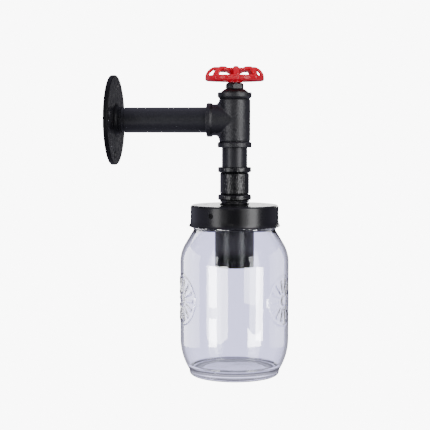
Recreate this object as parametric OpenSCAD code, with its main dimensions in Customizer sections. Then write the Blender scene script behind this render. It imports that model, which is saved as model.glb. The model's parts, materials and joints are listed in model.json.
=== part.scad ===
// Wall light built from pipe fittings, with a valve handwheel on top and a glass jar below.
// The origin is the centre of the wall flange's back face. +X points away from the wall, +Z is up.

/* [Arm] */
// Distance from the wall to the axis of the drop
arm_reach = 124; // [112:1:150]
// Outside diameter of the pipe
pipe_d = 25.4; // [25:0.1:27]
// Wall of the pipe
pipe_wall = 2.2; // [1.6:0.1:2.4]
// Depth to which a pipe screws into a fitting
thread_depth = 13; // [9:0.5:14]
// Cut of the pipe's end in the wall flange, on the radius
end_cut = 0.9; // [0.6:0.1:1.1]
// Length of the turned band between the flange's hub and the full pipe
end_band_l = 2.5; // [1.5:0.1:4]
// Length of pipe that shows between the tee and the coupling
drop_show = 19.5; // [10:0.5:30]

/* [Wall flange] */
// Diameter of the wall flange
flange_d = 90; // [86:1:110]
// Thickness of the flange's disc
flange_t = 4.8; // [3.5:0.1:6]
// Radius on the front edge of the disc
flange_edge_r = 1.2; // [0.5:0.1:1.6]
// Height of the flange's hub, from the wall
hub_h = 10.7; // [10.6:0.1:14]
// Rise of the hub over the pipe
hub_rise = 0.5; // [0.4:0.1:2]
// Radius of the fillet at the hub's foot
hub_foot = 4.2; // [2:0.1:4.2]
// Height of the ring at the hub's mouth
hub_ring_h = 1.3; // [0.8:0.1:1.3]
// Rise of the ring at the hub's mouth
hub_ring_rise = 0.2; // [0.1:0.1:0.3]
// Distance of a wall screw's axis from the flange's edge
screw_inset = 10; // [8:0.5:12]
// Number of wall screws
screw_count = 4; // [3:1:6]
// Diameter of a wall screw hole
screw_hole_d = 5.5; // [4:0.1:6]
// Diameter of the countersink of a wall screw hole
screw_head_d = 9; // [7:0.1:10]
// Turn of the ring of wall screws, in degrees
screw_turn = -12; // [-45:1:45]

/* [Tee and coupling] */
// Wall of the tee over the pipe
tee_wall = 2.9; // [2:0.1:4]
// Rise of a bead over the tee's body
tee_bead_rise = 1.3; // [0.8:0.1:2]
// Length of a bead on the tee
tee_bead_l = 5.8; // [4:0.1:7]
// Length of the tee's run, end to end
tee_run = 54.6; // [52:0.2:64]
// Length of the tee's branch, from the axis of the run
tee_branch = 27.5; // [27:0.1:34]
// Radius of the fillet between the run and the branch
crotch_r = 4.6; // [3:0.1:5]
// Length of the coupling
coupling_l = 32.4; // [30:0.2:44]
// Wall of the coupling over the pipe
coupling_wall = 1.75; // [1.2:0.05:2.5]
// Rise of a bead over the coupling's body
coupling_bead_rise = 2; // [1.4:0.1:2.5]
// Length of a bead on the coupling
coupling_bead_l = 5.6; // [4:0.1:7]
// Rise of the lengthwise ribs of the coupling
coupling_rib_rise = 1.2; // [0.5:0.1:1.8]
// Width of a lengthwise rib of the coupling
coupling_rib_w = 7; // [4:0.5:9]

/* [Valve top] */
// Height of the bonnet's skirt over the tee
skirt_h = 3.5; // [3.2:0.1:5]
// Ledge of the skirt beyond the tee's thread
skirt_ledge = 0.5; // [0.3:0.1:1.5]
// Length of the bonnet's threaded plug
bonnet_plug_l = 11; // [9:0.5:12]
// Height of the gland nut
gland_h = 5.8; // [4.5:0.1:8]
// Width of the gland nut across its flats
gland_af = 16.6; // [15:0.1:18]
// Diameter of the stem
stem_d = 6; // [5:0.1:6.4]
// Diameter of the stem's collar
stem_collar_d = 10.4; // [8:0.1:12]
// Thickness of the stem's collar
stem_collar_t = 2; // [1.5:0.1:2.4]
// Radius of the handwheel's rim
wheel_r = 28.6; // [27:0.1:32]
// Radius of the arch of the ribs
arch_r = 11.8; // [11.4:0.1:12.6]
// Height of the arch's centre over the wheel's foot
arch_z = 3.6; // [3.2:0.1:4]
// Number of ribs
rib_count = 8; // [5:1:9]
// Width of a rib
rib_w = 5.2; // [4:0.1:5.6]
// Depth of a rib
rib_t = 2.8; // [2.4:0.1:3.4]
// Rise of the ribs over the rim
rib_rise = 0.5; // [0.2:0.1:0.9]
// Height of the rim's lower edge over the wheel's foot
rim_up = 1.8; // [1:0.1:2]
// Height of the rim
rim_h = 4.6; // [4:0.1:5.4]
// Thickness of the top plate
plate_t = 2.2; // [1.6:0.1:2.8]
// Drop of the top plate under the crest of the ribs
plate_drop = 2; // [1.2:0.1:2.4]
// Diameter of the wheel's hub
wheel_hub_d = 14; // [13:0.1:15]
// Diameter of the hub's neck under the top plate
wheel_neck_d = 9.4; // [8.6:0.1:10.4]
// Width of the wheel nut across its flats
wheel_nut_af = 7; // [6:0.1:8]
// Height of the wheel nut
wheel_nut_h = 3; // [2:0.1:3.4]

/* [Lid] */
// Height of the hexagon of the bushing under the coupling
hex_h = 2.3; // [2:0.1:4]
// Width of that hexagon across its flats
hex_af = 25.3; // [24.6:0.1:28]
// Height of the turned neck under that hexagon
hex_neck_h = 1.5; // [1:0.1:3]
// Diameter of the washer on the lid
lid_washer_d = 29.2; // [24:0.2:34]
// Thickness of the washer on the lid
lid_washer_t = 1.2; // [0.8:0.1:2]
// Outside diameter of the lid
lid_d = 87.8; // [87.4:0.2:96]
// Height of the lid
lid_h = 21.8; // [21:0.2:25]
// Thickness of the lid's sheet
lid_t = 1.2; // [0.8:0.1:1.4]
// Radius of the lid's upper edge
lid_edge_r = 2.6; // [2:0.1:4]
// Rise of the flared lip over the lid's side
lip_rise = 1.8; // [1:0.1:3]
// Height of the flared lip
lip_h = 6.2; // [4:0.1:7]
// Diameter of a vent hole
vent_d = 4; // [2:0.5:5]
// Circle on which the vent holes lie
vent_circle_d = 57; // [50:1:64]
// Diameter of a jar screw
jar_screw_d = 5; // [4:0.1:6]
// Height of the jar screws over the lid's lower edge
jar_screw_up = 12.7; // [11.5:0.1:13.5]
// Angle of the first jar screw from the arm, in degrees
jar_screw_turn = 244; // [180:1:290]

/* [Jar] */
// Greatest diameter of the jar
jar_d = 108.4; // [104:0.2:120]
// Height of the jar
jar_h = 169.3; // [162:0.5:185]
// Gap between the jar's neck and the inside of the lid
neck_gap = 4.1; // [3.8:0.1:5]
// Height of the plain neck
neck_h = 18; // [17.5:0.1:19]
// Wall of the jar
jar_wall = 2.6; // [2:0.1:3.4]
// Thickness of the jar's floor
jar_floor = 7.5; // [5:0.1:9]
// Radius of the ring bead under the neck
neck_bead_r = 2.6; // [2:0.1:2.8]
// Reach of that bead beyond the neck
neck_bead_out = 3.4; // [2.8:0.1:3.5]
// Distance from the neck's top to the end of the shoulder
shoulder_drop = 56; // [52:0.5:62]
// Radius of the shoulder's arc
shoulder_r = 36; // [32:0.5:38]
// Radius of the arc over the base
waist_r = 60; // [55:0.5:70]
// Height of the arc over the base
waist_h = 37; // [34:0.5:40]
// Radius of the heel
heel_r = 3.6; // [2.5:0.1:4]
// Height of the heel ring
heel_h = 7.5; // [6.5:0.1:9]
// Rise of the hollow under the base
punt_rise = 2.4; // [1:0.1:3.5]

/* [Lamp holder] */
// Outside diameter of the lamp holder's cup
cup_d = 39; // [38.6:0.2:46]
// Length of the cup
cup_l = 60.8; // [59:0.2:70]
// Wall of the cup
cup_t = 1; // [0.8:0.1:1.2]
// Diameter of the threaded tube
tube_d = 10; // [9:0.1:10.8]
// Bore of the threaded tube
tube_bore_d = 7; // [6.6:0.1:7.6]
// Width of the nut under the cup's top, across its flats
tube_nut_af = 14; // [13:0.1:17]
// Height of that nut
tube_nut_h = 3; // [2.4:0.1:4]
// Diameter of the socket's porcelain body
socket_d = 34.4; // [33:0.2:35.4]
// Length of the socket's body
socket_l = 35; // [34:0.2:36.4]
// Bore of the screw shell
shell_bore_d = 26.6; // [26:0.1:27.4]
// Sheet of the screw shell
shell_t = 0.4; // [0.3:0.05:0.6]
// Length of the screw shell
shell_l = 20.5; // [18:0.5:21]
// Height of the strap over the socket
strap_h = 18; // [17.5:0.1:19]
// Width of the strap
strap_w = 14; // [13:0.5:14.5]
// Half the span of the strap
strap_half = 13; // [12.6:0.1:15]
// Thickness of the strap
strap_t = 1.2; // [0.8:0.1:1.6]
// Distance of a terminal from the drop's axis
terminal_x = 10.4; // [9.6:0.1:11]

/* [Wiring] */
// Diameter of an insulated lead
lead_d = 2.2; // [1.8:0.1:2.4]
// Distance of a lead's axis from the axis of the bundle
lead_ring = 1.9; // [1.6:0.1:2]
// Radius of the bundle's bend in the tee
lead_bend_r = 9; // [8:0.5:11]
// Distance of the terminal block from the wall
block_x = 7; // [6.5:0.5:12]
// Length of the terminal block
block_l = 15; // [12:0.5:18]
// Width of the terminal block
block_w = 15.6; // [15:0.2:16]
// Height of the terminal block
block_h = 8.4; // [7:0.2:9]
// Spacing of the poles of the terminal block
pole_gap = 5; // [4.6:0.1:5.2]

/* [Hidden] */
$fn = 72;

// clearances and overruns of cuts
fit_gap = 0.05;
run_gap = 0.08;
seat_gap = 0.3;
over = 1;
hair = 0.02;

// colours
iron_black = [0.15, 0.15, 0.16];
satin_black = [0.17, 0.17, 0.19];
lid_black = [0.19, 0.19, 0.21];
wheel_red = [0.8, 0.1, 0.14];
glass_tint = [0.84, 0.85, 0.9, 0.35];
zinc_grey = [0.6, 0.61, 0.62];
brass_gold = [0.78, 0.62, 0.3];
porcelain_white = [0.92, 0.91, 0.88];
block_white = [0.85, 0.85, 0.83];
live_brown = [0.36, 0.2, 0.12];
neutral_blue = [0.15, 0.25, 0.6];
earth_green = [0.25, 0.5, 0.2];

// pipe and fittings
pipe_r = pipe_d / 2;
pipe_bore_r = pipe_r - pipe_wall;
thread_r = pipe_r + fit_gap;
pipe_start_x = 1.6;
tee_r = pipe_r + tee_wall;
coupling_r = pipe_r + coupling_wall;
bead_slope = 1.3;
bead_round = 0.7;
end_r = pipe_r - end_cut;
end_groove = 0.4;
hub_r = pipe_r + hub_rise;
hub_groove_h = 0.3;
crotch_sink = 0.8;
crotch_bite = 0.3;
crotch_steps = 8;
crotch_spread = 80;
crotch_axis_share = 0.61;
coupling_rib_turn = 325;

// heights of the drop, from the tee's centre
tee_top_z = tee_run / 2;
tee_foot_z = -tee_top_z;
coupling_top_z = tee_foot_z - drop_show;
coupling_foot_z = coupling_top_z - coupling_l;
hex_foot_z = coupling_foot_z - hex_h;
neck_base_z = hex_foot_z - hex_neck_h;
lid_top_z = neck_base_z - lid_washer_t;
lid_under_z = lid_top_z - lid_t;
lid_foot_z = lid_top_z - lid_h;
cup_under_z = lid_under_z - cup_t;
cup_foot_z = lid_under_z - cup_l;

// valve top
skirt_r = thread_r + skirt_ledge;
skirt_foot_h = 0.8;
skirt_top_out = 0.9;
bonnet_cavity_share = 0.7;
bonnet_roof = 2;
gland_foot_z = tee_top_z + skirt_h;
gland_top_z = gland_foot_z + gland_h;
gland_crown = 2.2;
gland_turn = 27.5;
stem_r = stem_d / 2;
collar_r = stem_collar_d / 2;
collar_z = gland_foot_z - seat_gap / 2 - stem_collar_t;
pocket_z = collar_z - seat_gap / 2;
square_share = 0.68;
square_w = stem_d * square_share;
stem_tip_r = square_w / 2 - hair;
stem_tip_out = 0.7;
wheel_z = gland_top_z + seat_gap;
arch_x = wheel_r + rib_rise - arch_r;
crest_z = arch_z + arch_r;
plate_z = crest_z - plate_drop;
plate_r = arch_x + rib_t;
plate_edge = 0.5;
rib_end = 121;
rib_bury = 0.35;
rib_first = 9.5;
rim_mid_r = arch_r - (rib_rise + rib_t) / 2;
rim_half_t = (rib_t - rib_rise) / 2;
rib_start = asin((rim_up + rim_half_t - arch_z) / rim_mid_r);
rim_end = asin((rim_up + rim_h - rim_half_t - arch_z) / rim_mid_r);
wheel_hub_r = wheel_hub_d / 2;
wheel_neck_r = wheel_neck_d / 2;
hub_foot_share = 0.18;
hub_neck_share = 0.4;
boss_flare = 5;
boss_h = 2.9;
nut_pocket_depth = 3.2;
nut_pocket_r = wheel_nut_af / 2 + 2.4;
nut_seat_z = plate_z - nut_pocket_depth;
wheel_washer_t = 0.8;
wheel_washer_r = wheel_nut_af / 2 + 1.4;
stem_top_z = wheel_z + nut_seat_z + wheel_washer_t + wheel_nut_h + stem_tip_out;

// lid, bushing and jar screws
tube_r = tube_d / 2;
tube_hole_r = tube_r + fit_gap;
bushing_plug_l = 11;
hex_chamfer = 0.7;
hex_neck_rise = 0.4;
hex_turn = 5.5;
tube_top_z = coupling_foot_z + bushing_plug_l / 2;
lid_r = lid_d / 2;
lid_bore_r = lid_r - lid_t;
lip_tip_share = 0.64;
lip_fall = lip_h - lid_t * lip_tip_share;
lip_turn = 2 * atan(lip_rise / lip_fall);
lip_r = lip_fall / sin(lip_turn);
lip_top_z = lid_foot_z + lip_h;
lip_steps = 8;
vent_count = 4;
jar_screw_count = 3;
jar_screw_step = 360 / jar_screw_count;
jar_screw_r = jar_screw_d / 2;
jar_screw_z = lid_foot_z + jar_screw_up;
jar_screw_sink = 0.5;
jar_screw_point = 1;
insert_wall = 1.6;
insert_l = 2;
slot_share = 0.18;
slot_depth = 1.1;

// jar
jar_r = jar_d / 2;
neck_r = lid_bore_r - neck_gap;
jar_top_z = lid_under_z - seat_gap;
jar_foot_z = jar_top_z - jar_h;
neck_foot_z = jar_top_z - neck_h;
neck_lip_r = 1.2;
bead_z = neck_foot_z - neck_bead_r;
bead_x = neck_r + neck_bead_out - neck_bead_r;
bead_turn = acos((neck_r - bead_x) / neck_bead_r);
bead_start_z = bead_z + neck_bead_r * sin(bead_turn);
shoulder_z = jar_top_z - shoulder_drop;
shoulder_x = jar_r - shoulder_r;
shoulder_top_x = bead_x + neck_bead_r * 0.62;
shoulder_top_z = bead_z - neck_bead_r * 1.3;
shoulder_top_turn = atan2(shoulder_top_z - shoulder_z, shoulder_top_x - shoulder_x)
    - acos(shoulder_r / norm([shoulder_top_x - shoulder_x, shoulder_top_z - shoulder_z]));
waist_x = jar_r - waist_r;
waist_z = jar_foot_z + waist_h;
waist_turn = asin((waist_h - heel_h) / waist_r);
heel_step = 0.7;
heel_top_r = waist_x + waist_r * cos(waist_turn) - heel_step;
heel_top_z = jar_foot_z + heel_h - heel_step;
foot_r = heel_top_r - heel_step - heel_r;
punt_r = foot_r - heel_r;
punt_slope = 5;
floor_r = 5.5;
floor_crown = 1.2;
arc_step = 5;

// lamp holder
cup_r = cup_d / 2;
cup_edge_r = 1.4;
strap_top_z = cup_under_z - tube_nut_h;
tube_foot_z = strap_top_z - strap_t - 1;
socket_r = socket_d / 2;
socket_top_z = strap_top_z - strap_h;
socket_foot_z = socket_top_z - socket_l;
socket_step = 1.4;
socket_step_h = 7;
socket_round = 0.8;
shell_bore_r = shell_bore_d / 2;
shell_r = shell_bore_r + shell_t;
shell_foot_z = socket_foot_z + 1;
shell_top_z = shell_foot_z + shell_l;
shell_flange_share = 0.66;
strap_foot_l = 7.6;
strap_screw_inset = 3.3;
strap_screw_y = strap_half - strap_t - strap_screw_inset;
strap_screw_r = 1.5;
strap_head_r = 2.6;
strap_head_h = 1.6;
strap_screw_l = 8;
terminal_w = 5;
terminal_h = 5;
terminal_plate_t = 0.8;
terminal_plate_w = 4;
terminal_top_z = socket_top_z + terminal_plate_t + terminal_h;
terminal_rivet_r = 1.2;
terminal_screw_r = 1.2;
terminal_head_r = 2;
terminal_head_l = 1.4;
contact_r = 2;
contact_head_r = 4.2;
contact_head_h = 0.8;
contact_button_r = 3;
contact_button_h = 1.8;
contact_well_r = 6;
contact_seat_z = shell_top_z + contact_head_h + contact_button_h + seat_gap;
tag_t = 0.8;
tag_r = 3.1;
tag_barrel_r = 1.7;
tag_barrel_h = 3.5;
tag_gap = 0.3;
tag_y = strap_screw_y - strap_head_r - tag_gap - tag_barrel_r;
tag_z = socket_top_z + strap_t;

// wiring: a lead lies at [up, sideways] from the axis of the bundle
lead_r = lead_d / 2;
lead_hole_r = lead_r + fit_gap;
lead_low_share = 0.5;
lead_side_share = 0.866;
live_up = lead_ring * lead_side_share;
live_side = -lead_ring * lead_low_share;
lead_entry = 3;
lead_tail = 0.6;
lead_joint_r = lead_r + 0.04;
lead_joint_l = 0.6;
lead_sides = 24;
fan_l = 16;
block_end_x = block_x + block_l;
block_rest = 0.1;
block_foot_z = block_rest - sqrt(pow(pipe_bore_r, 2) - pow(block_w / 2, 2));
sleeve_z = block_foot_z + block_h / 2;
sleeve_r = 2;
block_screw_r = 1;
block_screw_inset = 3.4;
barrier_w = 0.8;
barrier_depth = 1.6;

function arc(x, y, r, from, to, steps) =
    [for (i = [0 : steps]) let (t = from + (to - from) * i / steps) [x + r * cos(t), y + r * sin(t)]];

// Turns local Z to the row's +X, with local X along the row's +Y
module on_wall() {
    rotate([90, 0, 90]) children();
}

module on_drop(z = 0) {
    translate([arm_reach, 0, z]) children();
}

module tube(r, bore_r, l) {
    difference() {
        cylinder(h = l, r = r);
        translate([0, 0, -over]) cylinder(h = l + 2 * over, r = bore_r);
    }
}

module hexagon(af, h, chamfer_top, chamfer_foot) {
    corner_r = af / 2 / cos(30);
    intersection() {
        cylinder(h = h, r = corner_r, $fn = 6);
        rotate_extrude() polygon([
            [0, 0], [corner_r - chamfer_foot, 0], [corner_r, chamfer_foot * tan(30)],
            [corner_r, h - chamfer_top * tan(40)], [corner_r - chamfer_top, h], [0, h]
        ]);
    }
}

// Outline of one cast bead, from its outer end at height 0 to the body at height l
function bead_points(body_r, rise, l) = concat(
    arc(body_r + rise - bead_round, bead_round, bead_round, -90, 0, 4),
    [[body_r + rise, l - bead_slope], [body_r, l]]
);

module beaded(body_r, rise, bead_l, l, both_ends) {
    foot = bead_points(body_r, rise, bead_l);
    head = [for (i = [len(foot) - 1 : -1 : 0]) [foot[i][0], l - foot[i][1]]];
    plain = [[body_r, l]];
    rotate_extrude() polygon(concat([[0, 0]], foot, both_ends ? head : plain, [[0, l]]));
}

module wall_flange() {
    flange_r = flange_d / 2;
    countersink_h = (screw_head_d - screw_hole_d) / 2;
    ring_z = hub_h - hub_ring_h;
    groove_z = ring_z - hub_groove_h;
    color(iron_black) on_wall() difference() {
        rotate_extrude() polygon(concat(
            [[0, 0], [flange_r - flange_edge_r / 2, 0], [flange_r, flange_edge_r / 2]],
            arc(flange_r - flange_edge_r, flange_t - flange_edge_r, flange_edge_r, 0, 90, 5),
            arc(hub_r + hub_foot, flange_t + hub_foot, hub_foot, 270, 180, 8),
            [[hub_r, groove_z], [hub_r - hub_ring_rise, groove_z], [hub_r - hub_ring_rise, ring_z]],
            [[hub_r + hub_ring_rise, ring_z + hub_ring_rise]],
            [[hub_r + hub_ring_rise, hub_h - hub_ring_rise], [hub_r, hub_h], [0, hub_h]]
        ));
        translate([0, 0, -over]) cylinder(h = hub_h, r = pipe_bore_r);
        translate([0, 0, pipe_start_x - hair]) cylinder(h = hub_h, r = end_r + fit_gap);
        for (i = [0 : screw_count - 1]) rotate(screw_turn + 360 * i / screw_count)
            translate([flange_r - screw_inset, 0, 0]) {
                translate([0, 0, -over]) cylinder(h = flange_t + 2 * over, d = screw_hole_d);
                translate([0, 0, flange_t - countersink_h])
                    cylinder(h = countersink_h + hair, d1 = screw_hole_d, d2 = screw_head_d + 2 * hair);
            }
    }
}

// The pipe's end is cut down for the hub, and a turned band stands between hub and full pipe
module arm_pipe() {
    band_r = (pipe_r + end_r) / 2;
    band_z = hub_h + seat_gap;
    groove_z = band_z + end_band_l;
    end_z = arm_reach - tee_branch + thread_depth;
    color(satin_black) on_wall() rotate_extrude() polygon([
        [pipe_bore_r, pipe_start_x], [end_r, pipe_start_x], [end_r, band_z], [band_r, band_z],
        [band_r, groove_z], [end_r, groove_z], [end_r, groove_z + end_groove],
        [pipe_r, groove_z + 2 * end_groove], [pipe_r, end_z], [pipe_bore_r, end_z]
    ]);
}

// The cast fillet in the corner of run and branch: a concave outline revolved about an axis
// across the corner, so that it thins out and sinks into both barrels towards the sides
module crotch() {
    ridge_r = tee_r * crotch_axis_share;
    back = tee_r - ridge_r * sin(45);
    translate([-back, 0, back]) rotate([0, 45, 0]) rotate(180 - crotch_spread)
        rotate_extrude(angle = 2 * crotch_spread) polygon(concat(
            [[ridge_r - crotch_sink, 0]],
            arc(ridge_r + crotch_r / sin(45), 0, crotch_r + crotch_bite, 225, 135, crotch_steps)
        ));
}

module tee() {
    color(iron_black) on_drop() difference() {
        union() {
            translate([0, 0, -tee_run / 2]) beaded(tee_r, tee_bead_rise, tee_bead_l, tee_run, true);
            rotate([0, 90, 0]) translate([0, 0, -tee_branch])
                beaded(tee_r, tee_bead_rise, tee_bead_l, tee_branch, false);
            crotch();
            mirror([0, 0, 1]) crotch();
        }
        translate([0, 0, -tee_run / 2 - over]) cylinder(h = tee_run + 2 * over, r = thread_r);
        rotate([0, -90, 0]) cylinder(h = tee_branch + over, r = thread_r);
    }
}

module bonnet() {
    skirt_top_r = gland_af / 2 + skirt_top_out;
    cavity_h = bonnet_plug_l - bonnet_roof;
    color(iron_black) on_drop() difference() {
        rotate_extrude() polygon([
            [0, tee_top_z - bonnet_plug_l], [pipe_r, tee_top_z - bonnet_plug_l],
            [pipe_r, tee_top_z], [skirt_r, tee_top_z], [skirt_r, tee_top_z + skirt_foot_h],
            [skirt_top_r, gland_foot_z], [0, gland_foot_z]
        ]);
        translate([0, 0, tee_top_z - bonnet_plug_l - over])
            cylinder(h = cavity_h + over, r = pipe_r * bonnet_cavity_share);
        translate([0, 0, tee_top_z - bonnet_plug_l]) cylinder(h = gland_top_z, r = stem_r + run_gap);
        translate([0, 0, pocket_z]) cylinder(h = skirt_h + over, r = collar_r + run_gap);
    }
}

module gland_nut() {
    color(iron_black) on_drop(gland_foot_z) rotate(gland_turn) difference() {
        hexagon(gland_af, gland_h, gland_crown, 0);
        translate([0, 0, -over]) cylinder(h = gland_h + 2 * over, r = stem_r + run_gap);
    }
}

module stem() {
    stem_foot_z = tee_top_z - bonnet_roof - skirt_foot_h;
    color(zinc_grey) on_drop() {
        translate([0, 0, stem_foot_z]) cylinder(h = wheel_z - stem_foot_z, r = stem_r);
        translate([0, 0, collar_z]) cylinder(h = stem_collar_t, r = collar_r);
        rotate(rib_first) translate([-square_w / 2, -square_w / 2, wheel_z])
            cube([square_w, square_w, nut_seat_z]);
        translate([0, 0, wheel_z]) cylinder(h = stem_top_z - wheel_z, r = stem_tip_r);
    }
}

// One arched rib: a section with a round back, revolved about the centre of the arch
module rib() {
    translate([arch_x, 0, arch_z]) rotate([90, 0, 0]) rotate(rib_start)
        rotate_extrude(angle = rib_end - rib_start) intersection() {
            translate([arch_r - rib_w / 2, 0]) circle(d = rib_w);
            translate([arch_r - rib_t + rib_bury, -rib_w]) square([rib_w, 2 * rib_w]);
        }
}

// The rim's section is a stretch of the same arch with round edges
module rim() {
    low = [arch_x + rim_mid_r * cos(rib_start), arch_z + rim_mid_r * sin(rib_start)];
    high = [arch_x + rim_mid_r * cos(rim_end), arch_z + rim_mid_r * sin(rim_end)];
    rotate_extrude() polygon(concat(
        arc(arch_x, arch_z, arch_r - rib_rise, rib_start, rim_end, 6),
        arc(high[0], high[1], rim_half_t, rim_end + 30, rim_end + 150, 4),
        arc(arch_x, arch_z, arch_r - rib_t, rim_end, rib_start, 6),
        arc(low[0], low[1], rim_half_t, rib_start + 210, rib_start + 330, 4)
    ));
}

module handwheel() {
    square_hole = square_w + 2 * fit_gap;
    color(wheel_red) on_drop(wheel_z) rotate(rib_first) difference() {
        union() {
            rim();
            for (i = [0 : rib_count - 1]) rotate(270 + 360 * i / rib_count) rib();
            rotate_extrude() polygon([
                [0, 0], [wheel_hub_r - plate_edge, 0], [wheel_hub_r, plate_edge],
                [wheel_hub_r, plate_z * hub_foot_share], [wheel_neck_r, plate_z * hub_neck_share],
                [wheel_neck_r, plate_z - plate_t - boss_h], [wheel_neck_r + boss_flare, plate_z - plate_t],
                [plate_r - plate_edge, plate_z - plate_t], [plate_r, plate_z - plate_t + plate_edge],
                [plate_r, plate_z - plate_edge], [plate_r - plate_edge, plate_z], [0, plate_z]
            ]);
        }
        translate([-square_hole / 2, -square_hole / 2, -over])
            cube([square_hole, square_hole, plate_z + 2 * over]);
        translate([0, 0, nut_seat_z]) cylinder(h = nut_pocket_depth + over, r = nut_pocket_r);
    }
}

module wheel_washer() {
    color(zinc_grey) on_drop(wheel_z + nut_seat_z)
        tube(wheel_washer_r, stem_tip_r + fit_gap, wheel_washer_t);
}

module wheel_nut() {
    color(zinc_grey) on_drop(wheel_z + nut_seat_z + wheel_washer_t) difference() {
        hexagon(wheel_nut_af, wheel_nut_h, plate_edge, 0);
        translate([0, 0, -over]) cylinder(h = wheel_nut_h + 2 * over, r = stem_tip_r + fit_gap);
    }
}

module drop_nipple() {
    color(satin_black) on_drop(coupling_top_z - thread_depth)
        tube(pipe_r, pipe_bore_r, drop_show + 2 * thread_depth);
}

module coupling() {
    color(iron_black) on_drop(coupling_foot_z) difference() {
        union() {
            beaded(coupling_r, coupling_bead_rise, coupling_bead_l, coupling_l, true);
            for (half = [0, 180]) rotate(coupling_rib_turn + half) intersection() {
                translate([0, 0, coupling_bead_l / 2])
                    cylinder(h = coupling_l - coupling_bead_l, r = coupling_r + coupling_rib_rise);
                translate([coupling_r / 2, -coupling_rib_w / 2, 0])
                    cube([coupling_r, coupling_rib_w, coupling_l]);
            }
        }
        translate([0, 0, -over]) cylinder(h = coupling_l + 2 * over, r = thread_r);
    }
}

module hex_bushing() {
    bushing_l = hex_neck_h + hex_h + bushing_plug_l;
    color(iron_black) on_drop(neck_base_z) difference() {
        union() {
            cylinder(h = hex_neck_h + hair, r = pipe_r + hex_neck_rise);
            translate([0, 0, hex_neck_h]) rotate(hex_turn) hexagon(hex_af, hex_h, hex_chamfer, hex_chamfer);
            cylinder(h = bushing_l, r = pipe_r);
        }
        translate([0, 0, -over]) cylinder(h = bushing_l + 2 * over, r = tube_hole_r);
    }
}

module lid_washer() {
    color(satin_black) on_drop(lid_top_z) tube(lid_washer_d / 2, tube_hole_r, lid_washer_t);
}

module threaded_tube() {
    color(zinc_grey) on_drop(tube_foot_z) tube(tube_r, tube_bore_d / 2, tube_top_z - tube_foot_z);
}

module around_lid(index) {
    on_drop(jar_screw_z) rotate(jar_screw_turn + jar_screw_step * index) rotate([0, 90, 0]) children();
}

// A spun cap of even sheet: rounded upper edge, straight side and a lip that flares out
module jar_lid() {
    inner_edge_r = lid_edge_r - lid_t;
    color(lid_black) difference() {
        on_drop() rotate_extrude() polygon(concat(
            [[tube_hole_r, lid_under_z], [tube_hole_r, lid_top_z]],
            arc(lid_r - lid_edge_r, lid_top_z - lid_edge_r, lid_edge_r, 90, 0, 8),
            arc(lid_r + lip_r, lip_top_z, lip_r, 180, 180 + lip_turn, lip_steps),
            arc(lid_r + lip_r, lip_top_z, lip_r + lid_t, 180 + lip_turn, 180, lip_steps),
            arc(lid_r - lid_edge_r, lid_top_z - lid_edge_r, inner_edge_r, 0, 90, 5)
        ));
        for (i = [0 : jar_screw_count - 1]) around_lid(i) translate([0, 0, lid_r / 2])
            cylinder(h = lid_r, r = jar_screw_r + run_gap);
        for (i = [0 : vent_count - 1]) on_drop(lid_under_z - over) rotate(360 * i / vent_count)
            translate([vent_circle_d / 2, 0, 0]) cylinder(h = lid_t + 2 * over, d = vent_d);
    }
}

module screw_inserts() {
    color(zinc_grey) for (i = [0 : jar_screw_count - 1]) intersection() {
        around_lid(i) translate([0, 0, lid_bore_r - insert_l])
            tube(jar_screw_r + insert_wall, jar_screw_r + run_gap, insert_l + over);
        on_drop(lid_foot_z) cylinder(h = lid_h, r = lid_bore_r - hair, $fn = 480);
    }
}

module jar_screw(index) {
    start = neck_r + seat_gap;
    end = lid_r - jar_screw_sink;
    slot_w = jar_screw_d * slot_share;
    color(lid_black) around_lid(index) difference() {
        union() {
            translate([0, 0, start]) cylinder(h = jar_screw_point, r1 = jar_screw_r / 2, r2 = jar_screw_r);
            translate([0, 0, start + jar_screw_point])
                cylinder(h = end - start - jar_screw_point, r = jar_screw_r);
        }
        translate([-slot_w / 2, -jar_screw_d, end - slot_depth])
            cube([slot_w, 2 * jar_screw_d, slot_depth + over]);
    }
}

// Side outline of the jar, drawn in from the glass's outer face by inset
function jar_side(inset) = concat(
    arc(shoulder_x, shoulder_z, shoulder_r - inset, shoulder_top_turn, 0,
        ceil(shoulder_top_turn / arc_step)),
    arc(waist_x, waist_z, waist_r - inset, 0, -waist_turn, ceil(waist_turn / arc_step))
);

// The same arc over the base inside, stopped where the floor's corner starts
function jar_inner_waist() = let (
    r = waist_r - jar_wall,
    turn = asin((waist_h - jar_floor - floor_r) / r)
) concat(
    arc(waist_x, waist_z, r, 0, -turn, ceil(turn / arc_step)),
    arc(waist_x + r * cos(turn) - floor_r, jar_foot_z + jar_floor + floor_r, floor_r, -turn / 2, -90, 5)
);

// The jar's plain neck, a ring over the bead
module jar_neck() {
    lip = neck_lip_r;
    inner_r = neck_r - jar_wall;
    color(glass_tint) on_drop() rotate_extrude() polygon(concat(
        [[inner_r, bead_start_z], [neck_r, bead_start_z]],
        arc(neck_r - lip, jar_top_z - lip, lip, 0, 90, 4),
        arc(inner_r + lip, jar_top_z - lip, lip, 90, 180, 4)
    ));
}

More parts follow.
